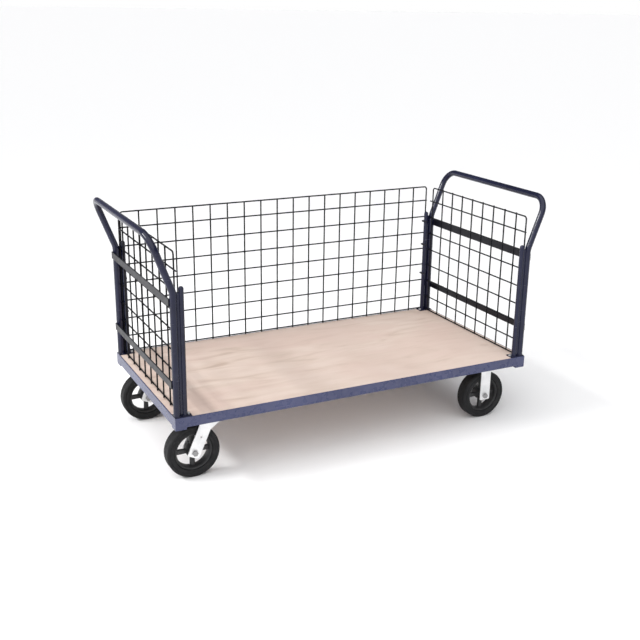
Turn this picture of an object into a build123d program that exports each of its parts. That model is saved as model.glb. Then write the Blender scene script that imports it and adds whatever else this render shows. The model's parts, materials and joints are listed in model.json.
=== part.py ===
from build123d import *
import os
from math import cos, radians, sin, sqrt, tan

# Flatbed platform truck with a handle at each end and three wire panels.
# Millimetres. Origin on the floor under the middle of the deck, X along the
# length, Y across it towards the fixed wire side, Z up.

os.makedirs("parts", exist_ok=True)

# ---- driving dimensions ----
deck_length = 1524.0
deck_width = 750.0
board_thickness = 18.0

rail_height = 38.0
rail_steel = 4.0
rail_flange = 38.0
corner_pad = 42.0
corner_pad_drop = 8.0

bolster_width = 130.0
stringer_width = 60.0
stringer_steel = 3.0
stringer_spacing = 310.0
screw_radius = 2.5
screw_head_radius = 5.0
screw_head_height = 3.0
screw_bite = 12.0
screw_rows = 4

tube_radius = 12.7
tube_wall = 2.0
handle_above_deck = 658.0
kink_above_deck = 455.0
handle_lean = 20.8
kink_bend_radius = 60.0
grip_bend_radius = 66.0
leg_from_end = 13.5
leg_from_side = 19.0

crossbar_height = 28.0
crossbar_steel = 5.0
crossbars_above_deck = {"lower": 122.0, "upper": 422.0}

post_radius = 9.5
post_above_deck = 476.0
strip_depth = 3.0
strip_set_in = 1.0
strip_below_post_top = 20.0

foot_width = 38.0
foot_thickness = 3.0
foot_margin = 3.0
foot_bolt_radius = 3.2
foot_bolt_inset = 8.0
foot_bolt_from_leg = 6.0
foot_bolt_from_post = 5.1

wire_radius = 3.0
wire_pitch = 76.2
weld_depth = 0.4
wire_trim = 1.0
row_undersize = 0.1
panel_height = 584.0
panel_rows = 7
panel_corner_radius = 12.0
panel_clearance = 0.2
panel_rest = 0.3
slot_play = 0.7
end_panel_stub = 20.0
end_panel_edge = 4.0
end_panel_gap = 11.0
clips_above_deck = (180.0, 320.0, 430.0)
clip_steel = 1.5
clip_height = 6.0

caster_from_end = 149.0
wheel_radius = 101.6
wheel_width = 50.8
wheel_clearance = 7.8
tyre_depth = 30.0
tyre_shoulder = 8.0
rim_depth = 9.0
rim_width = 42.0
spoke_count = 4
spoke_width = 17.0
spoke_thickness = 15.0
barrel_radius = 22.0
barrel_to_fork = 1.5
bearing_radius = 14.5
bearing_wall = 1.5
bearing_end = 2.0
roller_radius = 1.4
roller_count = 8
roller_clearance = 0.1
bushing_radius = 10.0
axle_radius = 6.3
axle_head_height = 8.0
axle_nut_height = 11.0
axle_tail = 1.0
hole_clearance = 0.1
washer_thickness = 1.1
washer_edge = 2.0

fork_beside_wheel = 4.6
fork_steel = 4.5
fork_width = 47.0
fork_below_axle = 18.0
fork_corner = 6.0
fork_rake = 23.6
fork_hole_radius = 4.0
fork_hole_up = 65.0
swivel_lead = 61.0
crown_width = 76.0
crown_thickness = 6.0
crown_flare = 6.0
crown_shoulder = 16.0
plate_length = 114.0
plate_width = 102.0
plate_thickness = 6.0
plate_corner = 8.0
plate_bolt_x = 85.0
plate_bolt_y = 70.0
caster_bolt_radius = 5.0
race_drop = 19.0
race_radius = 37.0
race_wall = 4.0
race_gap = 1.0
ball_radius = 4.0
ball_circle = 26.0
ball_count = 16
ball_play = 0.2
king_pin_radius = 8.0
king_pin_running = 0.05
king_pin_nut_height = 9.0
king_pin_nut_gap = 0.3
edge_round = 1.0

# hexagon heads and nuts, as shares of the bolt's radius
head_across_flats = 3.2
pin_across_flats = 3.0
head_height_share = 1.3
nut_height_share = 1.6
bolt_tail_share = 0.8

# ---- places worked out from them ----
half_length = deck_length / 2
half_width = deck_width / 2
plate_bottom = 2 * wheel_radius + wheel_clearance + race_drop
frame_bottom = plate_bottom + plate_thickness
deck_height = frame_bottom + rail_height
handle_height = deck_height + handle_above_deck
kink_height = deck_height + kink_above_deck
flange_top = frame_bottom + rail_steel
board_bottom = deck_height - board_thickness
inner_width = half_width - rail_steel
inner_length = half_length - rail_steel
between_flanges = half_width - rail_flange
leg_x = half_length - leg_from_end
leg_y = half_width - leg_from_side
slot_width = 2 * wire_radius + slot_play
post_x = leg_x - tube_radius - slot_width - post_radius
post_top = deck_height + post_above_deck
slot_x = leg_x - tube_radius - slot_width / 2
foot_top = deck_height + foot_thickness
foot_bolt_x = post_x - post_radius - foot_bolt_from_post
foot_length = half_length - foot_bolt_x + foot_bolt_inset
foot_bolt_y = leg_y - foot_bolt_from_leg
panel_bottom = foot_top + panel_rest + wire_radius
panel_offset = 2 * wire_radius - weld_depth
row_margin = (panel_height - (panel_rows - 1) * wire_pitch) / 2
back_panel_width = 2 * (post_x + wire_radius)
end_panel_width = 2 * leg_y - end_panel_edge - end_panel_stub - end_panel_gap
end_panel_columns = int(end_panel_width / wire_pitch)
caster_x = half_length - caster_from_end
caster_y = half_width - rail_flange - plate_width / 2
rim_radius = wheel_radius - tyre_depth
fork_gap = wheel_width + 2 * fork_beside_wheel
barrel_length = fork_gap - 2 * barrel_to_fork
race_top = plate_bottom - race_drop + crown_thickness
upright = (Align.CENTER, Align.CENTER, Align.MIN)
hanging = (Align.CENTER, Align.CENTER, Align.MAX)
corners = {
    "front_left": (-1, -1),
    "front_right": (1, -1),
    "back_left": (-1, 1),
    "back_right": (1, 1),
}


def save(piece, name):
    piece.label = name
    export_step(piece, f"parts/{name}.step")


def hexagon_across_flats(flats):
    return flats / sqrt(3)


# ---- deck ----
def screw_places():
    step = 2 * inner_width / screw_rows
    rows = [-inner_width + step * (i + 0.5) for i in range(screw_rows)]
    return [(x, y) for x in (-stringer_spacing, 0, stringer_spacing) for y in rows]


def foot_bolt_places():
    return [(sx * foot_bolt_x, sy * foot_bolt_y) for sx, sy in corners.values()]


def make_board():
    with BuildPart() as board:
        with BuildSketch(Plane.XY.offset(board_bottom)):
            Rectangle(2 * inner_length, 2 * inner_width)
        extrude(amount=board_thickness)
        with BuildSketch(Plane.XY.offset(board_bottom)):
            with Locations(*foot_bolt_places()):
                Circle(foot_bolt_radius + hole_clearance)
        extrude(amount=board_thickness, mode=Mode.SUBTRACT)
        with BuildSketch(Plane.XY.offset(board_bottom)):
            with Locations(*screw_places()):
                Circle(screw_radius + hole_clearance)
        extrude(amount=screw_bite, mode=Mode.SUBTRACT)
    return board.part


def make_long_rail(side):
    with BuildPart() as rail:
        with BuildSketch(Plane.YZ.offset(-half_length)):
            with BuildLine():
                Polyline(
                    (side * half_width, frame_bottom),
                    (side * half_width, deck_height),
                    (side * inner_width, deck_height),
                    (side * inner_width, flange_top),
                    (side * between_flanges, flange_top),
                    (side * between_flanges, frame_bottom),
                    close=True,
                )
            make_face()
        extrude(amount=deck_length)
        outer = rail.edges().filter_by(Axis.X).group_by(Axis.Y)[0 if side < 0 else -1]
        fillet(outer, edge_round)
        with BuildSketch(Plane.XY.offset(frame_bottom)):
            with Locations((foot_bolt_x, side * foot_bolt_y), (-foot_bolt_x, side * foot_bolt_y)):
                Circle(foot_bolt_radius + hole_clearance)
        extrude(amount=rail_steel, mode=Mode.SUBTRACT)
    return rail.part


def make_end_rail(side):
    with BuildPart() as rail:
        with Locations((side * (half_length - rail_steel / 2), 0, flange_top)):
            Box(rail_steel, 2 * inner_width, rail_height - rail_steel, align=upright)
        with Locations((side * (half_length - rail_flange / 2), 0, frame_bottom)):
            Box(rail_flange, 2 * between_flanges, rail_steel, align=upright)
        outer = rail.edges().filter_by(Axis.Y).group_by(Axis.X)[0 if side < 0 else -1]
        fillet(outer.sort_by(Axis.Z)[-1], edge_round)
    return rail.part


def make_corner_pads():
    pad_x = half_length - corner_pad / 2
    pad_y = half_width - corner_pad / 2
    with BuildPart() as pads:
        with Locations(*[(sx * pad_x, sy * pad_y, frame_bottom) for sx, sy in corners.values()]):
            Box(corner_pad, corner_pad, corner_pad_drop, align=hanging)
        fillet(pads.edges().filter_by(Axis.Z), edge_round)
    return pads.part


def caster_bolt_places(x, y):
    return [
        (x + sx * plate_bolt_x / 2, y + sy * plate_bolt_y / 2)
        for sx in (-1, 1)
        for sy in (-1, 1)
    ]


def make_bolster(side):
    lip_height = board_bottom - flange_top
    with BuildPart() as bolster:
        with Locations((side * caster_x, 0, frame_bottom)):
            Box(bolster_width, 2 * between_flanges, rail_steel, align=upright)
        lip_x = bolster_width / 2 - rail_steel / 2
        with Locations((side * caster_x - lip_x, 0, flange_top), (side * caster_x + lip_x, 0, flange_top)):
            Box(rail_steel, 2 * inner_width, lip_height, align=upright)
        holes = caster_bolt_places(side * caster_x, -caster_y) + caster_bolt_places(side * caster_x, caster_y)
        with BuildSketch(Plane.XY.offset(frame_bottom)):
            with Locations(*holes):
                Circle(caster_bolt_radius + hole_clearance)
        extrude(amount=rail_steel, mode=Mode.SUBTRACT)
    return bolster.part


def make_stringers():
    lip_height = board_bottom - flange_top - stringer_steel
    lip_x = stringer_width / 2 - stringer_steel / 2
    with BuildPart() as stringers:
        for x in (-stringer_spacing, 0, stringer_spacing):
            with Locations((x, 0, board_bottom)):
                Box(stringer_width, 2 * inner_width, stringer_steel, align=hanging)
            with Locations((x - lip_x, 0, flange_top), (x + lip_x, 0, flange_top)):
                Box(stringer_steel, 2 * inner_width, lip_height, align=upright)
        with BuildSketch(Plane.XY.offset(board_bottom - stringer_steel)):
            with Locations(*screw_places()):
                Circle(screw_radius + hole_clearance)
        extrude(amount=stringer_steel, mode=Mode.SUBTRACT)
    return stringers.part


def make_screws():
    head_top = board_bottom - stringer_steel
    with BuildPart() as screws:
        with BuildSketch(Plane.XY.offset(head_top - screw_head_height)):
            with Locations(*screw_places()):
                Circle(screw_head_radius)
        extrude(amount=screw_head_height)
        with BuildSketch(Plane.XY.offset(head_top)):
            with Locations(*screw_places()):
                Circle(screw_radius)
        extrude(amount=stringer_steel + screw_bite)
    return screws.part


# ---- end frames ----
def make_handle(side):
    lean_out = (handle_height - kink_height) * tan(radians(handle_lean))
    foot = side * leg_x
    grip = side * (leg_x + lean_out)
    with BuildPart() as handle:
        with BuildLine() as route:
            FilletPolyline(
                (foot, -leg_y, foot_top),
                (foot, -leg_y, kink_height),
                (grip, -leg_y, handle_height),
                (grip, leg_y, handle_height),
                (foot, leg_y, kink_height),
                (foot, leg_y, foot_top),
                radius=[kink_bend_radius, grip_bend_radius, grip_bend_radius, kink_bend_radius],
            )
        with BuildSketch(Plane((foot, -leg_y, foot_top), z_dir=(0, 0, 1))):
            Circle(tube_radius)
            Circle(tube_radius - tube_wall, mode=Mode.SUBTRACT)
        sweep(path=route.wires()[0])
    return handle.part


def make_crossbar(side, level):
    bar_x = side * (leg_x + tube_radius + crossbar_steel / 2)
    with BuildPart() as bar:
        with Locations((bar_x, 0, level)):
            Box(crossbar_steel, 2 * leg_y, crossbar_height)
        fillet(bar.edges().filter_by(Axis.Y), edge_round)
    return bar.part


def make_post(sx, sy):
    dome_base = post_top - post_radius
    with BuildPart() as post:
        with BuildSketch(Plane((sx * post_x, sy * leg_y, 0), x_dir=(1, 0, 0), z_dir=(0, -1, 0))):
            with BuildLine():
                Line((0, foot_top), (post_radius, foot_top))
                Line((post_radius, foot_top), (post_radius, dome_base))
                CenterArc((0, dome_base), post_radius, 0, 90)
                Line((0, post_top), (0, foot_top))
            make_face()
        revolve(axis=Axis((sx * post_x, sy * leg_y, 0), (0, 0, 1)))
    return post.part


def make_slot_strips():
    """Strips that close the outer side of each slot, welded between its leg and its post."""
    strip_y = leg_y + strip_set_in + strip_depth / 2
    with BuildPart() as strips:
        for sx, sy in corners.values():
            with BuildSketch(Plane.XY.offset(foot_top)):
                with Locations((sx * slot_x, sy * strip_y)):
                    Rectangle(slot_width + post_radius, strip_depth)
                with Locations((sx * post_x, sy * leg_y)):
                    Circle(post_radius, mode=Mode.SUBTRACT)
                with Locations((sx * leg_x, sy * leg_y)):
                    Circle(tube_radius, mode=Mode.SUBTRACT)
            extrude(amount=post_top - strip_below_post_top - foot_top)
    return strips.part


def make_foot(sx, sy):
    foot_y = half_width - foot_margin - foot_width / 2
    with BuildPart() as foot:
        with Locations((sx * (half_length - foot_length / 2), sy * foot_y, deck_height)):
            Box(foot_length, foot_width, foot_thickness, align=upright)
        fillet(foot.edges().filter_by(Axis.Z), 2 * edge_round)
        with BuildSketch(Plane.XY.offset(deck_height)):
            with Locations((sx * foot_bolt_x, sy * foot_bolt_y)):
                Circle(foot_bolt_radius + hole_clearance)
        extrude(amount=foot_thickness, mode=Mode.SUBTRACT)
    return foot.part


def hex_bolts(places, radius, head_from, head_height, shank_to, nut_from, nut_height):
    head_radius = hexagon_across_flats(head_across_flats * radius)
    with BuildPart() as bolts:
        with BuildSketch(Plane.XY.offset(head_from)):
            with Locations(*places):
                RegularPolygon(head_radius, 6)
        extrude(amount=head_height)
        with BuildSketch(Plane.XY.offset(min(head_from + head_height, shank_to))):
            with Locations(*places):
                Circle(radius)
        extrude(amount=abs(shank_to - head_from) - (head_height if shank_to > head_from else 0))
    with BuildPart() as nuts:
        with BuildSketch(Plane.XY.offset(nut_from)):
            with Locations(*places):
                RegularPolygon(head_radius, 6)
                Circle(radius, mode=Mode.SUBTRACT)
        extrude(amount=nut_height)
    return Compound(children=[*bolts.part.solids(), *nuts.part.solids()])


def make_foot_bolts():
    radius = foot_bolt_radius
    nut_from = frame_bottom - nut_height_share * radius
    return hex_bolts(
        foot_bolt_places(), radius,
        head_from=foot_top, head_height=head_height_share * radius,
        shank_to=nut_from - bolt_tail_share * radius,
        nut_from=nut_from, nut_height=nut_height_share * radius,
    )


# ---- wire panels ----
def make_panel(plane, low, high, columns, low_stub, high_stub):
    """Panel drawn in a plane: local x along it, local y up, local z to the side of the uprights."""
    top = panel_bottom + panel_height
    wire_end = panel_bottom - wire_radius
    rows = [panel_bottom + row_margin + wire_pitch * i for i in range(panel_rows)]
    with BuildPart(plane) as panel:
        with BuildLine(plane) as edge:
            FilletPolyline(
                (low, wire_end), (low, top), (high, top), (high, wire_end),
                radius=panel_corner_radius,
            )
        with BuildSketch(Plane(edge.line @ 0, z_dir=edge.line % 0)):
            Circle(wire_radius)
        sweep(path=edge.wires()[0])
        middle = (low - low_stub + high + high_stub) / 2
        length = high + high_stub - low + low_stub
        with Locations(*[(middle, z, 0) for z in [panel_bottom] + rows]):
            Cylinder(wire_radius - row_undersize, length, rotation=(0, 90, 0))
        with Locations(*[(x, panel_bottom + panel_height / 2, panel_offset) for x in columns]):
            Cylinder(wire_radius, panel_height + 2 * wire_radius, rotation=(90, 0, 0))
    return panel.part


def make_back_panel():
    plane_y = leg_y + post_radius + panel_clearance + wire_radius
    plane = Plane((0, plane_y, 0), x_dir=(1, 0, 0), z_dir=(0, -1, 0))
    half = back_panel_width / 2
    columns = [wire_pitch * (i + 1) - half for i in range(int(back_panel_width / wire_pitch))]
    past_edge = wire_radius + wire_trim
    return make_panel(plane, -half, half, columns, past_edge, past_edge)


def make_end_panel(side):
    plane = Plane((side * slot_x, 0, 0), x_dir=(0, side, 0), z_dir=(side, 0, 0))
    low = -(leg_y - end_panel_edge)
    high = low + end_panel_width
    first = (low + high) / 2 - wire_pitch * (end_panel_columns - 1) / 2
    columns = [first + wire_pitch * i for i in range(end_panel_columns)]
    return make_panel(plane, low, high, columns, wire_radius + wire_trim, end_panel_stub)


def make_clips():
    """Clips round the deck side of each back post, hooked behind the back panel's edge wire."""
    inner = post_radius + panel_clearance / 2
    outer = inner + clip_steel
    wire_back = leg_y + post_radius + panel_clearance + 2 * wire_radius
    lip_y = wire_back + panel_clearance / 2
    lip_length = outer + wire_radius
    with BuildPart() as clips:
        for rise in clips_above_deck:
            with BuildSketch(Plane.XY.offset(deck_height + rise - clip_height / 2)):
                for side in (-1, 1):
                    centre = side * post_x
                    with Locations((centre, leg_y)):
                        Circle(outer)
                        Circle(inner, mode=Mode.SUBTRACT)
                        Rectangle(
                            2 * outer, outer,
                            align=(Align.CENTER, Align.MIN), mode=Mode.SUBTRACT,
                        )
                    with Locations((centre, leg_y - outer)):
                        away = Align.MIN if side > 0 else Align.MAX
                        Rectangle(outer, outer, align=(away, Align.MIN), mode=Mode.SUBTRACT)
                    with Locations((centre - side * (inner + clip_steel / 2), leg_y)):
                        Rectangle(clip_steel, lip_y + clip_steel - leg_y, align=(Align.CENTER, Align.MIN))
                    with Locations((centre - side * outer, lip_y)):
                        Rectangle(lip_length, clip_steel, align=(away, Align.MIN))
            extrude(amount=clip_height)
    return clips.part


# ---- casters ----
def axle_place(sx, sy):
    lead = swivel_lead if sx < 0 else 0
    return (sx * (caster_x + lead), sy * caster_y)


def wheel_plane(sx, sy):
    """Plane across the wheel: local x along X, local y up, local z towards the open side."""
    x, y = axle_place(sx, sy)
    return Plane((x, y, wheel_radius), x_dir=(1, 0, 0), z_dir=(0, -1, 0))


def make_plate(sx, sy):
    with BuildPart() as plate:
        with Locations((sx * caster_x, sy * caster_y, plate_bottom)):
            Box(plate_length, plate_width, plate_thickness, align=upright)
        fillet(plate.edges().filter_by(Axis.Z), plate_corner)
        with BuildSketch(Plane.XY.offset(plate_bottom)):
            with Locations(*caster_bolt_places(sx * caster_x, sy * caster_y)):
                Circle(caster_bolt_radius + hole_clearance)
        extrude(amount=plate_thickness, mode=Mode.SUBTRACT)
        if sx < 0:
            skirt = 2 * ball_radius + ball_play + race_wall
            with BuildSketch(Plane.XY.offset(plate_bottom)):
                with Locations((sx * caster_x, sy * caster_y)):
                    Circle(race_radius)
                    Circle(king_pin_radius + race_wall, mode=Mode.SUBTRACT)
            extrude(amount=-skirt)
            with BuildSketch(Plane.XY.offset(plate_bottom - race_wall)):
                with Locations((sx * caster_x, sy * caster_y)):
                    Circle(race_radius - race_wall)
            extrude(amount=-skirt, mode=Mode.SUBTRACT)
    return plate.part


def along_fork(rake, across, up):
    """Point in the wheel plane from the axle, across the cheek and up along it."""
    lean = radians(rake)
    return (across * cos(lean) + up * sin(lean), up * cos(lean) - across * sin(lean))


def fork_outline(rake, lead, crown_z, crown_length):
    """One fork cheek, with a straight strip at its rake that widens into the crown."""
    half = fork_width / 2
    neck = (crown_z - crown_shoulder) / cos(radians(rake))
    Polyline(
        along_fork(rake, -half, -fork_below_axle),
        along_fork(rake, -half, neck - half * tan(radians(rake))),
        (lead - crown_length / 2, crown_z - crown_thickness),
        (lead - crown_length / 2, crown_z),
        (lead + crown_length / 2, crown_z),
        (lead + crown_length / 2, crown_z - crown_thickness),
        along_fork(rake, half, neck - crown_shoulder + half * tan(radians(rake))),
        along_fork(rake, half, -fork_below_axle),
        close=True,
    )


def make_fork(sx, sy):
    swivel = sx < 0
    x, y = axle_place(sx, sy)
    crown_x = sx * caster_x
    crown_top = race_top if swivel else plate_bottom
    crown_length = crown_width if swivel else fork_width + 2 * crown_flare
    rake = fork_rake if swivel else 0
    plane = wheel_plane(sx, sy)
    with BuildPart() as fork:
        for face in (-fork_gap / 2, fork_gap / 2 + fork_steel):
            with BuildSketch(plane.offset(face)) as cheek:
                with BuildLine():
                    fork_outline(rake, abs(crown_x - x), crown_top - wheel_radius, crown_length)
                make_face()
                fillet(cheek.vertices().sort_by(Axis.Y)[0:2], fork_corner)
                Circle(axle_radius + hole_clearance, mode=Mode.SUBTRACT)
                if swivel:
                    with Locations(along_fork(rake, 0, fork_hole_up)):
                        Circle(fork_hole_radius, mode=Mode.SUBTRACT)
            extrude(amount=-fork_steel)
        with Locations((crown_x, y, crown_top)):
            Box(crown_length, fork_gap, crown_thickness, align=hanging)
        outer = fork.edges().filter_by(Axis.X).group_by(Axis.Z)[-1]
        fillet(outer, 3 * edge_round)
        if swivel:
            lift = plate_bottom - race_wall - 2 * ball_radius - 2 * ball_play - crown_top
            with BuildSketch(Plane.XY.offset(crown_top)):
                with Locations((crown_x, y)):
                    Circle(race_radius - race_wall - race_gap)
            extrude(amount=lift)
            with BuildSketch(Plane.XY.offset(crown_top - crown_thickness)):
                with Locations((crown_x, y)):
                    Circle(king_pin_radius)
            extrude(amount=crown_thickness + lift, mode=Mode.SUBTRACT)
    return fork.part


def make_king_pin(sy):
    x, y = -caster_x, sy * caster_y
    nut_top = race_top - crown_thickness - king_pin_nut_gap
    radius = king_pin_radius - king_pin_running
    with BuildPart() as pin:
        with BuildSketch(Plane.XY.offset(plate_bottom)):
            with Locations((x, y)):
                Circle(radius)
        extrude(amount=-(plate_bottom - nut_top))
        with BuildSketch(Plane.XY.offset(nut_top)):
            with Locations((x, y)):
                RegularPolygon(hexagon_across_flats(pin_across_flats * king_pin_radius), 6)
        extrude(amount=-king_pin_nut_height)
    return pin.part


def make_balls(sy):
    centre_z = plate_bottom - race_wall - ball_play - ball_radius
    with BuildPart() as balls:
        with Locations((-caster_x, sy * caster_y, centre_z)):
            with PolarLocations(ball_circle, ball_count):
                Sphere(ball_radius)
    return balls.part


def make_axle(sx, sy):
    """Axle bolt with its nut, the bushing round it and the two thrust washers."""
    outward = -sy
    plane = wheel_plane(sx, sy)
    cheek = fork_gap / 2 + fork_steel
    tail = cheek + axle_nut_height + axle_tail
    hex_radius = hexagon_across_flats(pin_across_flats * axle_radius)
    with BuildPart() as bolt:
        with BuildSketch(plane.offset(-outward * tail)):
            Circle(axle_radius)
        extrude(amount=outward * (cheek + tail))
        with BuildSketch(plane.offset(outward * cheek)):
            RegularPolygon(hex_radius, 6)
        extrude(amount=outward * axle_head_height)
        free_end = bolt.edges().filter_by(GeomType.CIRCLE).sort_by(Axis.Y)[0 if sy > 0 else -1]
        chamfer(free_end, edge_round)
    with BuildPart() as nut_piece:
        with BuildSketch(plane.offset(-outward * cheek)):
            RegularPolygon(hex_radius, 6)
            Circle(axle_radius, mode=Mode.SUBTRACT)
        extrude(amount=-outward * axle_nut_height)
    with BuildPart() as bushing:
        with BuildSketch(plane.offset(-fork_gap / 2)):
            Circle(bushing_radius)
            Circle(axle_radius + hole_clearance, mode=Mode.SUBTRACT)
        extrude(amount=fork_gap)
    with BuildPart() as washers:
        for face in (-fork_gap / 2, fork_gap / 2 - washer_thickness):
            with BuildSketch(plane.offset(face)):
                Circle(barrel_radius - washer_edge)
                Circle(bushing_radius + hole_clearance, mode=Mode.SUBTRACT)
            extrude(amount=washer_thickness)
    pieces = [bolt, nut_piece, bushing, washers]
    return Compound(children=[solid for piece in pieces for solid in piece.part.solids()])


def make_hub(sx, sy):
    plane = wheel_plane(sx, sy)
    with BuildPart() as hub:
        with BuildSketch(plane):
            Circle(rim_radius)
            Circle(rim_radius - rim_depth, mode=Mode.SUBTRACT)
        extrude(amount=rim_width / 2, both=True)
        with BuildSketch(plane):
            with PolarLocations(rim_radius / 2, spoke_count):
                Rectangle(rim_radius - rim_depth / 2, spoke_width)
        extrude(amount=spoke_thickness / 2, both=True)
        with BuildSketch(plane):
            Circle(barrel_radius)
        extrude(amount=barrel_length / 2, both=True)
        with BuildSketch(plane):
            Circle(bearing_radius)
        extrude(amount=barrel_length / 2, both=True, mode=Mode.SUBTRACT)
    return hub.part


def make_tyre(sx, sy):
    plane = wheel_plane(sx, sy)
    with BuildPart() as tyre:
        with BuildSketch(plane):
            Circle(wheel_radius)
            Circle(rim_radius, mode=Mode.SUBTRACT)
        extrude(amount=wheel_width / 2, both=True)
        rims = tyre.edges().filter_by(GeomType.CIRCLE).sort_by(SortBy.RADIUS)
        fillet(rims[-2:], tyre_shoulder)
    return tyre.part


def make_bearing(sx, sy):
    plane = wheel_plane(sx, sy)
    length = barrel_length - 2 * bearing_end
    roller_circle = bushing_radius + roller_clearance + roller_radius
    with BuildPart() as shell:
        with BuildSketch(plane):
            Circle(bearing_radius)
            Circle(bearing_radius - bearing_wall, mode=Mode.SUBTRACT)
        extrude(amount=length / 2, both=True)
    with BuildPart() as rollers:
        with BuildSketch(plane):
            with PolarLocations(roller_circle, roller_count):
                Circle(roller_radius)
        extrude(amount=length / 2 - bearing_end, both=True)
    return Compound(children=[*shell.part.solids(), *rollers.part.solids()])


def make_caster_bolts():
    places = [
        place
        for sx, sy in corners.values()
        for place in caster_bolt_places(sx * caster_x, sy * caster_y)
    ]
    radius = caster_bolt_radius
    head_height = head_height_share * radius
    return hex_bolts(
        places, radius,
        head_from=plate_bottom - head_height, head_height=head_height,
        shank_to=flange_top + (nut_height_share + bolt_tail_share) * radius,
        nut_from=flange_top, nut_height=nut_height_share * radius,
    )


# ---- build everything ----
save(make_board(), "deck_board")
save(make_screws(), "deck_screws")
save(make_stringers(), "stringers")
save(make_corner_pads(), "corner_pads")
for side, name in ((-1, "front"), (1, "back")):
    save(make_long_rail(side), f"{name}_rail")
for side, name in ((-1, "left"), (1, "right")):
    save(make_end_rail(side), f"{name}_rail")
    save(make_bolster(side), f"{name}_bolster")
    save(make_handle(side), f"{name}_handle")
    for level_name, rise in crossbars_above_deck.items():
        save(make_crossbar(side, deck_height + rise), f"{name}_{level_name}_crossbar")
    save(make_end_panel(side), f"{name}_panel")
save(make_back_panel(), "back_panel")
save(make_clips(), "panel_clips")
save(make_slot_strips(), "slot_strips")
save(make_foot_bolts(), "foot_bolts")
save(make_caster_bolts(), "caster_bolts")
for corner, (sx, sy) in corners.items():
    save(make_post(sx, sy), f"{corner}_slot_post")
    save(make_foot(sx, sy), f"{corner}_foot_plate")
    save(make_plate(sx, sy), f"{corner}_caster_plate")
    save(make_fork(sx, sy), f"{corner}_fork")
    save(make_axle(sx, sy), f"{corner}_axle")
    save(make_hub(sx, sy), f"{corner}_hub")
    save(make_tyre(sx, sy), f"{corner}_tyre")
    save(make_bearing(sx, sy), f"{corner}_bearing")
for sy, name in ((-1, "front_left"), (1, "back_left")):
    save(make_king_pin(sy), f"{name}_king_pin")
    save(make_balls(sy), f"{name}_race_balls")
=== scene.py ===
import bpy
import bmesh
import json
import math
from mathutils import Matrix, Vector


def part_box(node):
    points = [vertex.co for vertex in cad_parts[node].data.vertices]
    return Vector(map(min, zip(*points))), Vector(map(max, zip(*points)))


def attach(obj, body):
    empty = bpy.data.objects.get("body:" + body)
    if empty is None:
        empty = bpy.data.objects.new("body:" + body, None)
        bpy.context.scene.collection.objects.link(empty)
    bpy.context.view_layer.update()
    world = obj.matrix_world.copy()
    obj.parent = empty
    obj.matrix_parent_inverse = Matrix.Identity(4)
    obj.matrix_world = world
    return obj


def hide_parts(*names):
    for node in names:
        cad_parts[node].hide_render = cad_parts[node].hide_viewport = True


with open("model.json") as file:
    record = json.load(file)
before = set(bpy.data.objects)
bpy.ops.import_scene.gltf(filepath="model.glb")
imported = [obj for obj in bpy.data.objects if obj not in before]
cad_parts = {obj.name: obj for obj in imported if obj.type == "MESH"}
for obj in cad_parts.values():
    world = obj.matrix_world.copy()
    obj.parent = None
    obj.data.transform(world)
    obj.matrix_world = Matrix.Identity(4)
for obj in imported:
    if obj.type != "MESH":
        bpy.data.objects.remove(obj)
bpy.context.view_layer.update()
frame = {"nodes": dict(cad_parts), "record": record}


# which way each corner lies along X and Y
corners = {"front_left": (-1, -1), "front_right": (1, -1), "back_left": (-1, 1), "back_right": (1, 1)}
print("frame loaded", len(frame["nodes"]), "nodes")


class Link:
    # wraps an output socket, so that shader maths can be written as an expression
    def __init__(self, net, socket):
        self.net = net
        self.socket = socket

    def maths(self, operation, first, second):
        return self.net.add("ShaderNodeMath", {"operation": operation}, {0: first, 1: second})

    def __add__(self, other):
        return self.maths("ADD", self, other)

    def __radd__(self, other):
        return self.maths("ADD", other, self)

    def __sub__(self, other):
        return self.maths("SUBTRACT", self, other)

    def __rsub__(self, other):
        return self.maths("SUBTRACT", other, self)

    def __mul__(self, other):
        return self.maths("MULTIPLY", self, other)

    def __rmul__(self, other):
        return self.maths("MULTIPLY", other, self)


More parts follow.
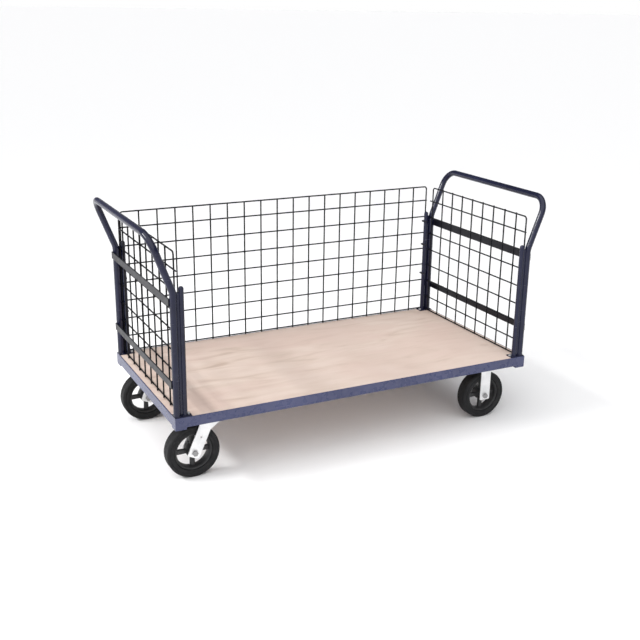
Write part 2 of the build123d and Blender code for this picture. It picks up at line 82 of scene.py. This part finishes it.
class Net:
    # the node tree of one material, or of the world
    def __init__(self, owner, shaderName="Principled BSDF", coordsName="Object"):
        self.owner = owner
        owner.use_nodes = True
        self.tree = owner.node_tree
        self.shader = self.tree.nodes[shaderName]
        self.coords = self.add("ShaderNodeTexCoord", {}, {}, coordsName)

    def add(self, kind, settings, inputs, out=0):
        node = self.tree.nodes.new(kind)
        for key, value in settings.items():
            if key == "stops":
                ramp = node.color_ramp
                while len(ramp.elements) < len(value):
                    ramp.elements.new(1.0)
                for element, (place, colour) in zip(ramp.elements, value):
                    element.position = place
                    element.color = (*colour, 1.0)
            else:
                setattr(node, key, value)
        for key, value in inputs.items():
            self.feed(node.inputs[key], value)
        return Link(self, node.outputs[out])

    def feed(self, socket, value):
        if isinstance(value, Link):
            self.tree.links.new(value.socket, socket)
        elif isinstance(value, tuple) and socket.type == "RGBA":
            socket.default_value = (*value, 1.0)
        else:
            socket.default_value = value

    def stretched(self, scale, turn=0.0):
        place = {"Vector": self.coords, "Scale": scale, "Rotation": (0.0, 0.0, math.radians(turn))}
        return self.add("ShaderNodeMapping", {}, place)

    def noise(self, scale, detail=3.0, at=None, twist=0.0):
        wanted = {"Vector": at or self.coords, "Scale": scale, "Detail": detail, "Distortion": twist}
        return self.add("ShaderNodeTexNoise", {}, wanted)

    def cells(self, scale):
        return self.add("ShaderNodeTexVoronoi", {}, {"Vector": self.coords, "Scale": scale}, "Distance")

    def spread(self, link, low, high):
        limits = {"Value": link, "From Min": low, "From Max": high}
        return self.add("ShaderNodeMapRange", {"clamp": True}, limits)

    def ramp(self, link, stops):
        return self.add("ShaderNodeValToRGB", {"stops": stops}, {"Fac": link})

    def mix(self, amount, first, second):
        return self.add("ShaderNodeMix", {"data_type": "RGBA"}, {0: amount, 6: first, 7: second}, 2)

    def bump(self, height, strength, distance):
        wanted = {"Height": height, "Strength": strength, "Distance": distance}
        return self.add("ShaderNodeBump", {}, wanted)

    def finish(self, **sockets):
        for name, value in sockets.items():
            self.feed(self.shader.inputs[name.replace("_", " ")], value)
        return self.owner


def newNet(name):
    return Net(bpy.data.materials.new(name))


def plywoodFinish():
    wood = {
        "pale": (0.715, 0.590, 0.515),
        "warm": (0.655, 0.525, 0.445),
        "brown": (0.545, 0.420, 0.345),
        "pink": (0.665, 0.505, 0.440),
        "scuff": (0.46, 0.36, 0.30),
        "grainStretch": (1.0, 4.2, 4.2), "grainTurn": 4.0, "grainScale": 3.2, "grainTwist": 1.4,
        "poreStretch": (6.0, 130.0, 130.0), "poreScale": 3.0, "poreShow": 0.16,
        "patchStretch": (1.0, 2.2, 1.0), "patchScale": 2.6, "patchShow": 0.65,
        "driftScale": 1.1, "driftShow": 0.50,
        "scuffStretch": (3.0, 26.0, 1.0), "scuffTurn": 31.0, "scuffScale": 2.0, "scuffShow": 0.16,
        "rough": 0.46, "shine": 0.35, "relief": 0.25, "depth": 0.0006,
    }
    net = newNet("birchPlywood")
    drift = net.noise(wood["driftScale"], 2.0)
    grainPlace = net.stretched(wood["grainStretch"], wood["grainTurn"])
    figure = net.noise(wood["grainScale"], 5.0, grainPlace, wood["grainTwist"])
    pores = net.noise(wood["poreScale"], 2.0, net.stretched(wood["poreStretch"]))
    patch = net.noise(wood["patchScale"], 3.0, net.stretched(wood["patchStretch"]), 0.8)
    grain = net.ramp(figure, [(0.30, wood["brown"]), (0.44, wood["warm"]), (0.62, wood["pale"])])
    tinted = net.mix(net.spread(patch, 0.40, 0.66) * wood["patchShow"], grain, wood["pink"])
    faded = net.mix(net.spread(drift, 0.35, 0.65) * wood["driftShow"], tinted, wood["pale"])
    colour = net.mix(net.spread(pores, 0.60, 0.74) * wood["poreShow"], faded, wood["brown"])
    scuffPlace = net.stretched(wood["scuffStretch"], wood["scuffTurn"])
    scuffs = net.noise(wood["scuffScale"], 4.0, scuffPlace, 0.6)
    scuffMask = net.spread(scuffs, 0.66, 0.74) * wood["scuffShow"]
    colour = net.mix(scuffMask, colour, wood["scuff"])
    rough = wood["rough"] + pores * 0.14 + scuffMask * 0.3
    bumped = net.bump(figure * 0.35 + pores * 0.65, wood["relief"], wood["depth"])
    return net.finish(Base_Color=colour, Roughness=rough, Normal=bumped, Specular_IOR_Level=wood["shine"])


# what every painted piece shares
enamel = {
    "cloudScale": 5.0,
    "peelScale": 520.0, "relief": 0.10, "depth": 0.0004,  # the fine ripple of sprayed enamel
    "dustScale": 38.0, "dustColour": (0.42, 0.42, 0.44),
    "scratchStretch": (1.0, 1.0, 14.0), "scratchTurn": 23.0, "scratchScale": 9.0, "scratchShow": 0.25,
    "chipScale": 240.0, "chipColour": (0.30, 0.30, 0.31), "chipShow": 0.8,
}


def paintFinish(name, paint):
    net = newNet(name)
    cloud = net.noise(enamel["cloudScale"], 3.0)
    peel = net.noise(enamel["peelScale"], 1.5)
    dust = net.noise(enamel["dustScale"], 5.0)
    scratchPlace = net.stretched(enamel["scratchStretch"], enamel["scratchTurn"])
    scratch = net.noise(enamel["scratchScale"], 5.0, scratchPlace, 0.7)
    flakes = net.noise(enamel["chipScale"], 3.0)
    chips = net.spread(flakes, 0.735, 0.76) * net.spread(cloud, 0.50, 0.58)
    colour = net.mix(net.spread(cloud, 0.3, 0.7), paint["deep"], paint["lit"])
    colour = net.mix(net.spread(dust, 0.50, 0.78) * paint["dust"], colour, enamel["dustColour"])
    colour = net.mix(net.spread(scratch, 0.68, 0.74) * enamel["scratchShow"], colour, paint["worn"])
    colour = net.mix(chips * enamel["chipShow"], colour, enamel["chipColour"])
    rough = paint["rough"] + net.spread(dust, 0.35, 0.75) * 0.12 + net.spread(scratch, 0.66, 0.74) * 0.15
    bumped = net.bump(peel * 0.5 - chips * 0.6, enamel["relief"], enamel["depth"])
    return net.finish(Base_Color=colour, Roughness=rough, Normal=bumped, Specular_IOR_Level=paint["shine"])


# what every plated piece shares
plating = {
    "spangleScale": 150.0, "hazeScale": 24.0, "stainScale": 9.0, "stainShow": 0.35,
    "brushScale": 40.0, "brushStretch": (1.0, 1.0, 9.0), "relief": 0.16, "depth": 0.0003,
}


def zincFinish(name, zinc):
    net = newNet(name)
    spangle = net.cells(plating["spangleScale"])
    haze = net.noise(plating["hazeScale"], 4.0)
    brushed = net.noise(plating["brushScale"], 3.0, net.stretched(plating["brushStretch"]))
    stain = net.noise(plating["stainScale"], 5.0, twist=0.8)
    colour = net.mix(net.spread(haze, 0.3, 0.7), zinc["bright"], zinc["dull"])
    colour = net.mix(net.spread(stain, 0.60, 0.75) * plating["stainShow"], colour, zinc["stain"])
    rough = zinc["rough"] + spangle * 0.14 + net.spread(haze, 0.4, 0.7) * 0.12
    bumped = net.bump(spangle * 0.5 + brushed * 0.5, plating["relief"], plating["depth"])
    return net.finish(Base_Color=colour, Roughness=rough, Metallic=zinc["metal"], Normal=bumped)


def castFinish():
    iron = {
        "deep": (0.013, 0.013, 0.014), "lit": (0.030, 0.030, 0.031),
        "rust": (0.085, 0.045, 0.028), "rustShow": 0.35,
        "gritScale": 260.0, "lumpScale": 60.0, "rustScale": 17.0,
        "rough": 0.42, "relief": 0.35, "depth": 0.0006,
    }
    net = newNet("blackCastIron")
    grit = net.noise(iron["gritScale"], 4.0)
    lumps = net.noise(iron["lumpScale"], 3.0)
    rust = net.noise(iron["rustScale"], 5.0, twist=0.5)
    colour = net.mix(net.spread(lumps, 0.3, 0.7), iron["deep"], iron["lit"])
    colour = net.mix(net.spread(rust, 0.66, 0.76) * iron["rustShow"], colour, iron["rust"])
    bumped = net.bump(grit * 0.6 + lumps * 0.4, iron["relief"], iron["depth"])
    return net.finish(Base_Color=colour, Roughness=iron["rough"] + grit * 0.25, Normal=bumped)


def rubberFinish():
    rubber = {
        "deep": (0.005, 0.005, 0.0055), "lit": (0.011, 0.011, 0.012),
        "dust": (0.070, 0.067, 0.064), "dustShow": 0.20,
        "grainScale": 420.0, "dustScale": 26.0, "rubScale": 70.0,
        "rough": 0.52, "shine": 0.26, "relief": 0.22, "depth": 0.0004,
    }
    net = newNet("mouldedRubber")
    grain = net.noise(rubber["grainScale"], 3.0)
    dust = net.noise(rubber["dustScale"], 5.0, twist=0.6)
    rub = net.noise(rubber["rubScale"], 4.0)
    colour = net.mix(net.spread(grain, 0.3, 0.7), rubber["deep"], rubber["lit"])
    colour = net.mix(net.spread(dust, 0.50, 0.76) * rubber["dustShow"], colour, rubber["dust"])
    rough = rubber["rough"] + net.spread(rub, 0.3, 0.7) * 0.18 + net.spread(dust, 0.5, 0.8) * 0.15
    bumped = net.bump(grain, rubber["relief"], rubber["depth"])
    return net.finish(Base_Color=colour, Roughness=rough, Normal=bumped, Specular_IOR_Level=rubber["shine"])


railPaint = {
    "deep": (0.038, 0.044, 0.105), "lit": (0.056, 0.064, 0.145), "worn": (0.15, 0.17, 0.28),
    "dust": 0.05, "rough": 0.24, "shine": 0.5,
}
# navy enamel of the tubes, posts, foot plates and welds: the real navy, made much darker than the rail's
# enamel as painted shade for the shade these round tubes stand in
navyPaintWithPaintedShade = {
    "deep": (0.004, 0.005, 0.021), "lit": (0.008, 0.010, 0.036), "worn": (0.11, 0.12, 0.20),
    "dust": 0.02, "rough": 0.15, "shine": 0.40,
}
crossbarPaint = {
    "deep": (0.003, 0.003, 0.006), "lit": (0.007, 0.007, 0.012), "worn": (0.09, 0.09, 0.11),
    "dust": 0.03, "rough": 0.35, "shine": 0.26,
}
wireCoat = {
    "deep": (0.002, 0.002, 0.003), "lit": (0.004, 0.004, 0.007), "worn": (0.04, 0.04, 0.05),
    "dust": 0.01, "rough": 0.36, "shine": 0.16,
}
brightZinc = {
    "bright": (0.90, 0.90, 0.90), "dull": (0.74, 0.745, 0.75), "stain": (0.60, 0.59, 0.56),
    "rough": 0.34, "metal": 0.85,
}
boltSteel = {
    "bright": (0.36, 0.36, 0.36), "dull": (0.24, 0.24, 0.24), "stain": (0.20, 0.18, 0.16),
    "rough": 0.30, "metal": 1.0,
}
finishes = {
    "plywood": plywoodFinish(),
    "navy_paint": paintFinish("navyEnamelWithPaintedShade", navyPaintWithPaintedShade),
    "rail_paint": paintFinish("railEnamel", railPaint),
    "dark_paint": paintFinish("crossbarEnamel", crossbarPaint),
    "black_wire": paintFinish("coatedWire", wireCoat),
    "zinc": zincFinish("brightZinc", brightZinc),
    "bolt_steel": zincFinish("platedBoltSteel", boltSteel),
    "black_iron": castFinish(),
    "black_rubber": rubberFinish(),
}
for row in frame["record"]["subparts"]:
    mesh = frame["nodes"][row["node"]].data
    mesh.materials.clear()
    mesh.materials.append(finishes[row["material_slot"]])


def newPiece(name, shape, slotName, body, stands=()):
    mesh = bpy.data.meshes.new(name)
    bmesh.ops.recalc_face_normals(shape, faces=shape.faces)
    shape.to_mesh(mesh)
    shape.free()
    for face in mesh.polygons:
        face.use_smooth = True
    mesh.materials.append(finishes[slotName])
    piece = bpy.data.objects.new(name, mesh)
    bpy.context.scene.collection.objects.link(piece)
    if stands:
        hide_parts(*stands)
    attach(piece, body)
    return piece


def roundNode(node):
    # middle, radius and half width of a round piece whose axis lies along Y
    low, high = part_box(node)
    return (low + high) / 2, (high.z - low.z) / 2, (high.y - low.y) / 2


def spinProfile(shape, side, centre, steps):
    # side is half an outline, as (radius, place along Y); it is mirrored, closed and spun
    points = side + [(radius, -along) for radius, along in reversed(side)]
    verts = [shape.verts.new(centre + Vector((radius, along, 0.0))) for radius, along in points]
    edges = [shape.edges.new((a, b)) for a, b in zip(verts, verts[1:] + verts[:1])]
    bmesh.ops.spin(
        shape, geom=verts + edges, cent=centre, axis=(0.0, 1.0, 0.0), angle=math.tau,
        steps=steps, use_merge=True,
    )


def bevelAll(shape, width, segments=2):
    sharpAngle = 0.5
    edges = [e for e in shape.edges if len(e.link_faces) == 2 and e.calc_face_angle(0.0) > sharpAngle]
    bmesh.ops.bevel(
        shape, geom=edges, offset=width, offset_type="OFFSET", affect="EDGES", segments=segments,
        profile=0.5, material=-1, clamp_overlap=True,
    )


def turnAboutAxle(shape, angle, centre):
    turn = Matrix.Rotation(angle, 3, "Y")
    bmesh.ops.rotate(shape, verts=shape.verts, cent=(0, 0, 0), matrix=turn)
    bmesh.ops.translate(shape, verts=shape.verts, vec=centre)


def joinShape(shape, extra):
    mesh = bpy.data.meshes.new("join")
    extra.to_mesh(mesh)
    extra.free()
    shape.from_mesh(mesh)
    bpy.data.meshes.remove(mesh)


def arcPoints(centre, radius, start, end, count):
    angles = [math.radians(start + (end - start) * i / (count - 1)) for i in range(count)]
    return [(centre[0] + radius * math.cos(a), centre[1] + radius * math.sin(a)) for a in angles]


def makeTyre(corner):
    tyre = {
        "shoulder": 0.0085, "shoulderSteps": 7, "turns": 112,
        "lip": 0.0030, "lipFoot": 0.0004, "lipBend": (0.0016, 0.0008),  # the bead against the rim
        "ringAt": 0.55, "ringDeep": 0.0011, "ringWide": 0.0016,  # the groove on each side wall
        "seam": (0.0006, 0.0012, 0.0022),  # mould line: height, and where its foot starts and ends
        "edgeDrop": 0.0002,
    }
    centre, outer, half = roundNode(f"{corner}_tyre")
    inner = roundNode(f"{corner}_hub")[1]
    ring = inner + (outer - inner) * tyre["ringAt"]
    bendUp, bendIn = tyre["lipBend"]
    side = [
        (inner, half - 2 * tyre["lip"]), (inner + tyre["lipFoot"], half - tyre["lip"]),
        (inner + bendUp, half - bendIn), (inner + tyre["lip"], half),
        (ring - 2 * tyre["ringWide"], half), (ring - tyre["ringWide"], half - tyre["ringDeep"]),
        (ring + tyre["ringWide"], half - tyre["ringDeep"]), (ring + 2 * tyre["ringWide"], half),
    ]
    bend = (outer - tyre["shoulder"], half - tyre["shoulder"])
    side += arcPoints(bend, tyre["shoulder"], 90, 0, tyre["shoulderSteps"])
    side[-1] = (outer - tyre["edgeDrop"], half - tyre["shoulder"])
    seamHigh, seamIn, seamOut = tyre["seam"]
    side += [(outer - seamHigh, seamOut), (outer - seamHigh, seamIn), (outer, seamHigh)]
    shape = bmesh.new()
    spinProfile(shape, side, centre, tyre["turns"])
    return newPiece(f"{corner}_moulded_tyre", shape, "black_rubber", f"{corner}_wheel", [f"{corner}_tyre"])


def makeHub(corner):
    hub = {
        "rimDeep": 0.009, "rimThick": 0.0045, "rimHalf": 0.021, "rimTurns": 80,
        "lipEase": 0.0012, "wellRise": 0.001, "wellEdge": 0.014, "wellFlat": 0.010,
        "barrel": 0.022, "barrelEdge": 0.0015, "barrelTurns": 48,
        "swell": ((0.001, 0.016), (0.004, 0.009)),  # how the barrel thickens towards its middle
        "spokes": 4, "spokeWide": 0.0165, "spokeThick": 0.015, "spokeEase": 0.0035,
        "rimEndThin": 0.86, "rimEndWide": 1.22,  # how the spoke changes by the time it meets the rim
    }
    centre, outer, half = roundNode(f"{corner}_hub")
    bore = roundNode(f"{corner}_bearing")[1]
    rimInner = outer - hub["rimDeep"]
    lipInner = outer - hub["rimThick"]
    barrel = hub["barrel"]
    shape = bmesh.new()
    rimSide = [
        (outer, hub["rimHalf"]), (lipInner, hub["rimHalf"]),
        (lipInner - hub["lipEase"], hub["rimHalf"] - hub["lipEase"]),
        (rimInner + hub["wellRise"], hub["wellEdge"]), (rimInner, hub["wellFlat"]),
    ]
    spinProfile(shape, rimSide, centre, hub["rimTurns"])
    barrelSide = [
        (bore, half), (barrel - hub["barrelEdge"], half), (barrel, half - hub["barrelEdge"]),
    ] + [(barrel + rise, along) for rise, along in hub["swell"]]
    spinProfile(shape, barrelSide, centre, hub["barrelTurns"])
    reach = outer - hub["rimDeep"] / 2 - barrel
    for i in range(hub["spokes"]):
        arm = bmesh.new()
        bmesh.ops.create_cube(arm, size=1.0)
        bmesh.ops.scale(arm, verts=arm.verts, vec=(reach, hub["spokeThick"], hub["spokeWide"]))
        for v in arm.verts:
            if v.co.x > 0:
                v.co.y *= hub["rimEndThin"]
                v.co.z *= hub["rimEndWide"]
        bevelAll(arm, hub["spokeEase"], 3)
        bmesh.ops.translate(arm, verts=arm.verts, vec=(barrel + reach / 2, 0.0, 0.0))
        turnAboutAxle(arm, math.tau * i / hub["spokes"], centre)
        joinShape(shape, arm)
    makeNipple(corner, centre, barrel)
    return newPiece(f"{corner}_cast_hub", shape, "black_iron", f"{corner}_wheel", [f"{corner}_hub"])


def makeNipple(corner, centre, barrel):
    nipple = {
        "foot": 0.0028, "tip": 0.0018, "tall": 0.009, "sides": 12,
        "up": 0.0035, "out": 0.012, "turn": 45,  # up the barrel, off its middle, turned between spokes
    }
    shape = bmesh.new()
    bmesh.ops.create_cone(
        shape, cap_ends=True, segments=nipple["sides"], radius1=nipple["foot"], radius2=nipple["tip"],
        depth=nipple["tall"],
    )
    place = (0.0, nipple["out"] * corners[corner][1], barrel + nipple["up"])
    bmesh.ops.translate(shape, verts=shape.verts, vec=place)
    turnAboutAxle(shape, math.radians(nipple["turn"]), centre)
    newPiece(f"{corner}_grease_nipple", shape, "bolt_steel", f"{corner}_wheel")


def softenNode(node, width, slotName, body, name):
    # a copy of the node with its sharp edges eased, as pressed and tumbled steel has them
    soften = {"merge": 0.00002, "flat": 1.0, "keepSharp": 40}
    shape = bmesh.new()
    shape.from_mesh(frame["nodes"][node].data)
    bmesh.ops.remove_doubles(shape, verts=shape.verts, dist=soften["merge"])
    bmesh.ops.dissolve_limit(
        shape, angle_limit=math.radians(soften["flat"]), verts=shape.verts, edges=shape.edges,
        delimit={"NORMAL"},
    )
    bevelAll(shape, width)
    piece = newPiece(name, shape, slotName, body, [node])
    piece.data.set_sharp_from_angle(angle=math.radians(soften["keepSharp"]))
    return piece


def drop(shape, place, size, squash=1.0):
    made = bmesh.ops.create_icosphere(shape, subdivisions=1, radius=size)
    bmesh.ops.scale(shape, verts=made["verts"], vec=(1.0, 1.0, squash))
    bmesh.ops.translate(shape, verts=made["verts"], vec=place)


def makeFootWelds():
    # a ring of overlapping drops round each post and each leg, open where the panel's slot passes
    bead = {"radius": 0.0021, "step": 0.0021, "squash": 0.8, "uneven": 0.13, "ripple": 3.1}
    slot = {"near": 0.7270, "far": 0.7395, "reach": 0.3585}
    legRadius = 0.0127
    shape = bmesh.new()
    for corner, (sx, sy) in corners.items():
        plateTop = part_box(f"{corner}_foot_plate")[1].z
        low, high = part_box(f"{corner}_slot_post")
        side = "left" if sx < 0 else "right"
        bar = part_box(f"{side}_upper_crossbar")
        legX = (bar[1].x + legRadius) if sx < 0 else (bar[0].x - legRadius)
        leg = Vector((legX, sy * abs(bar[1].y), 0.0))
        for centre, radius in [((low + high) / 2, (high.x - low.x) / 2), (leg, legRadius)]:
            count = int(math.tau * radius / bead["step"])
            for i in range(count):
                angle = math.tau * i / count
                x = centre.x + radius * math.cos(angle)
                y = centre.y + radius * math.sin(angle)
                if slot["near"] < abs(x) < slot["far"] and abs(y) < slot["reach"]:
                    continue
                size = bead["radius"] * (1.0 + bead["uneven"] * math.sin(bead["ripple"] * i))
                drop(shape, Vector((x, y, plateTop)), size, bead["squash"])
    return newPiece("foot_welds", shape, "navy_paint", "root")


def makeCrossbarWelds():
    # a short upright bead at each end of each crossbar, where it lies on the leg
    bead = {
        "radius": 0.0022, "step": 0.0024, "in": 0.0065, "sunk": 0.0006, "short": 0.001,
        "uneven": 0.12, "ripple": 2.4, "shift": 900.0,
    }
    shape = bmesh.new()
    for side, sign in (("left", -1), ("right", 1)):
        for level in ("lower", "upper"):
            low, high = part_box(f"{side}_{level}_crossbar")
            x = (low.x if sign > 0 else high.x) - sign * bead["sunk"]
            for end in (-1, 1):
                start = Vector((x, end * (high.y - bead["in"]), low.z + bead["short"]))
                run = Vector((start.x, start.y, high.z - bead["short"])) - start
                count = max(2, int(run.length / bead["step"]))
                for i in range(count):
                    place = start + run * (i + 0.5) / count
                    wave = math.sin(bead["ripple"] * i + place.y * bead["shift"])
                    drop(shape, place, bead["radius"] * (1.0 + bead["uneven"] * wave))
    return newPiece("crossbar_welds", shape, "navy_paint", "root")


def wireHeights(low, high):
    # the levels of the cross wires and of the two level edges of a panel
    wire = {"radius": 0.003, "pitch": 0.0762, "rows": 7}
    bottom = low.z + wire["radius"]
    height = high.z - low.z - 2 * wire["radius"]
    margin = (height - (wire["rows"] - 1) * wire["pitch"]) / 2
    return [bottom] + [bottom + margin + wire["pitch"] * i for i in range(wire["rows"])] + [bottom + height]


def wireGroups(panel, runs, across, reach):
    # the uprights are found from the panel's own mesh: they alone reach one of its sides
    find = {"near": 0.0001, "apart": 0.02}
    verts = frame["nodes"][panel].data.vertices
    found = {round(v.co[runs], 4) for v in verts if abs(v.co[across] - reach) < find["near"]}
    groups = []
    for value in sorted(found):
        if not groups or value - groups[-1][-1] > find["apart"]:
            groups.append([value])
        else:
            groups[-1].append(value)
    return groups


def makeWireWelds(panel, body, runs, across, outside, name):
    # flattened nuggets where two wires of a panel cross
    nugget = 0.0027
    low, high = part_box(panel)
    ends = sorted((low[across], high[across]), key=abs)
    groups = wireGroups(panel, runs, across, ends[1] if outside else ends[0])
    shape = bmesh.new()
    for group in groups:
        place = [0.0, 0.0]
        place[across] = (low[across] + high[across]) / 2
        place[runs] = (group[0] + group[-1]) / 2
        for z in wireHeights(low, high):
            drop(shape, Vector((place[0], place[1], z)), nugget)
    newPiece(name, shape, "black_wire", body)
    print(panel, "uprights", len(groups))


eased = {"fork": 0.0007, "casterPlate": 0.0006, "footPlate": 0.0005}
for corner in corners:
    makeTyre(corner)
    makeHub(corner)
    forkBody = f"{corner}_swivel" if corners[corner][0] < 0 else "root"
    softenNode(f"{corner}_fork", eased["fork"], "zinc", forkBody, f"{corner}_pressed_fork")
    softenNode(f"{corner}_caster_plate", eased["casterPlate"], "zinc", "root", f"{corner}_pressed_plate")
    softenNode(f"{corner}_foot_plate", eased["footPlate"], "navy_paint", "root", f"{corner}_painted_foot")
print("casters dressed")
makeFootWelds()
makeCrossbarWelds()
makeWireWelds("left_panel", "left_panel", 1, 0, True, "left_wire_welds")
makeWireWelds("right_panel", "right_panel", 1, 0, True, "right_wire_welds")
makeWireWelds("back_panel", "root", 0, 1, False, "back_wire_welds")
print("welds laid")


def makeRoom():
    # the room is white low down and dim overhead, so paint keeps its depth
    room = {
        "size": 1600.0, "floor": (0.97, 0.97, 0.97), "wall": (1.0, 1.0, 1.0), "ceiling": (0.20, 0.20, 0.21),
        "wallTop": 0.02, "ceilingFrom": 0.14,
    }
    shape = bmesh.new()
    bmesh.ops.create_grid(shape, x_segments=1, y_segments=1, size=room["size"] / 2)
    mesh = bpy.data.meshes.new("floor")
    shape.to_mesh(mesh)
    shape.free()
    floor = bpy.data.objects.new("floor", mesh)
    bpy.context.scene.collection.objects.link(floor)
    net = newNet("paleFloor")
    mesh.materials.append(net.finish(Base_Color=room["floor"], Roughness=0.9, Specular_IOR_Level=0.1))
    world = bpy.data.worlds.new("paleRoom")
    bpy.context.scene.world = world
    sky = Net(world, "Background", "Generated")
    height = sky.add("ShaderNodeSeparateXYZ", {}, {0: sky.coords}, 2)
    rise = sky.spread(height, room["wallTop"], room["ceilingFrom"])
    sky.finish(Color=sky.mix(rise, room["wall"], room["ceiling"]), Strength=1.0)


def makeLamp(name, kind, place, aim, wanted):
    lamp = bpy.data.lights.new(name, kind)
    for key, value in wanted.items():
        setattr(lamp, key, value)
    holder = bpy.data.objects.new(name, lamp)
    holder.location = place
    holder.rotation_euler = (Vector(aim) - Vector(place)).to_track_quat("-Z", "Y").to_euler()
    bpy.context.scene.collection.objects.link(holder)


def makeCamera():
    view = {"place": (-1.7216, -3.3644, 1.6683), "yaw": 26.99, "pitch": 18.22, "roll": 0.80, "lens": 54.34}
    camera = bpy.data.cameras.new("camera")
    camera.lens = view["lens"]
    camera.sensor_width = 36.0
    camera.clip_end = 200.0
    holder = bpy.data.objects.new("camera", camera)
    turn = Matrix.Rotation(math.radians(-view["yaw"]), 4, "Z")
    tilt = Matrix.Rotation(math.radians(90.0 - view["pitch"]), 4, "X")
    roll = Matrix.Rotation(math.radians(view["roll"]), 4, "Z")
    holder.matrix_world = Matrix.Translation(view["place"]) @ turn @ tilt @ roll
    bpy.context.scene.collection.objects.link(holder)
    bpy.context.scene.camera = holder


softSun = {"energy": 3.1, "angle": math.radians(110.0)}
leftLamp = {"shape": "RECTANGLE", "size": 1.6, "size_y": 0.35, "energy": 85.0}
makeRoom()
makeLamp("softSun", "SUN", (-3.0, -3.4, 7.0), (0.0, 0.0, 0.0), softSun)
makeLamp("leftLamp", "AREA", (-3.4, 0.6, 2.6), (0.0, 0.0, 0.5), leftLamp)
makeCamera()
bpy.context.scene.view_settings.view_transform = "Standard"
print("room, lamps and camera ready")
